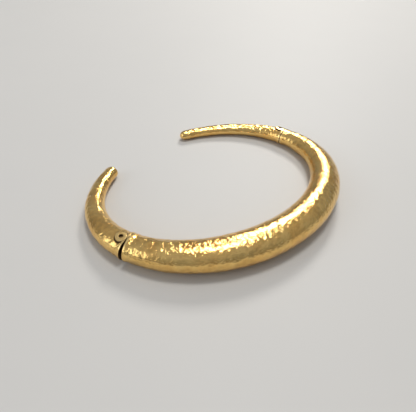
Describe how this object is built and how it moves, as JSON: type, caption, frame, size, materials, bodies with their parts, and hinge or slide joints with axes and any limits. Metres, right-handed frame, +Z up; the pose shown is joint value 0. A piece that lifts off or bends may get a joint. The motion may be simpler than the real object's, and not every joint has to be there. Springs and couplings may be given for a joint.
{
  "type": "hinged bangle bracelet",
  "caption": "Open-backed oval bangle in hammered gold: thick hollow front tapering into two sprung, hinged arms with rounded ends.",
  "frame": {"origin": "middle of the oval, on the surface that the bangle lies on", "axes": "+X along the oval's long axis, -Y towards the thick front, +Y towards the open back, +Z up, through the wrist opening"},
  "size_m": [0.0708, 0.0563, 0.0076],
  "materials": {
    "gold_sheet": "hammered and polished yellow gold sheet",
    "gold_plain": "plain polished yellow gold",
    "hard_gold": "drawn wire, cut and sunk",
    "spring_gold": "rolled spring strip"
  },
  "bodies": {
    "front": {"front_upper_shell": "gold_sheet", "front_lower_shell": "gold_sheet", "left_front_end_plate": "gold_plain", "left_hinge_middle_knuckle": "gold_plain", "left_spring_leaf": "spring_gold", "left_spring_anchor": "gold_plain", "right_front_end_plate": "gold_plain", "right_hinge_middle_knuckle": "gold_plain", "right_spring_leaf": "spring_gold", "right_spring_anchor": "gold_plain"},
    "left_arm": {"left_arm_upper_shell": "gold_sheet", "left_arm_lower_shell": "gold_sheet", "left_arm_end_plate": "gold_plain", "left_terminal_cap": "gold_sheet", "left_hinge_upper_knuckle": "gold_plain", "left_hinge_lower_knuckle": "gold_plain", "left_hinge_pin": "hard_gold", "left_hinge_heel": "gold_plain"},
    "right_arm": {"right_arm_upper_shell": "gold_sheet", "right_arm_lower_shell": "gold_sheet", "right_arm_end_plate": "gold_plain", "right_terminal_cap": "gold_sheet", "right_hinge_upper_knuckle": "gold_plain", "right_hinge_lower_knuckle": "gold_plain", "right_hinge_pin": "hard_gold", "right_hinge_heel": "gold_plain"}
  },
  "joints": [
    {"name": "left_arm_hinge", "type": "hinge", "parent": "front", "child": "left_arm", "pos_m": [-0.03173, -0.00704, 0.00297], "axis": [0, 0, 1], "range_deg": [0, 14], "stiffness_Nm_per_rad": 0.03, "springref_deg": -14.32, "deforming": ["left_spring_leaf"]},
    {"name": "right_arm_hinge", "type": "hinge", "parent": "front", "child": "right_arm", "pos_m": [0.0316, 0.00741, 0.00231], "axis": [0, 0, -1], "range_deg": [0, 14], "stiffness_Nm_per_rad": 0.03, "springref_deg": -14.32, "deforming": ["right_spring_leaf"]}
  ]
}
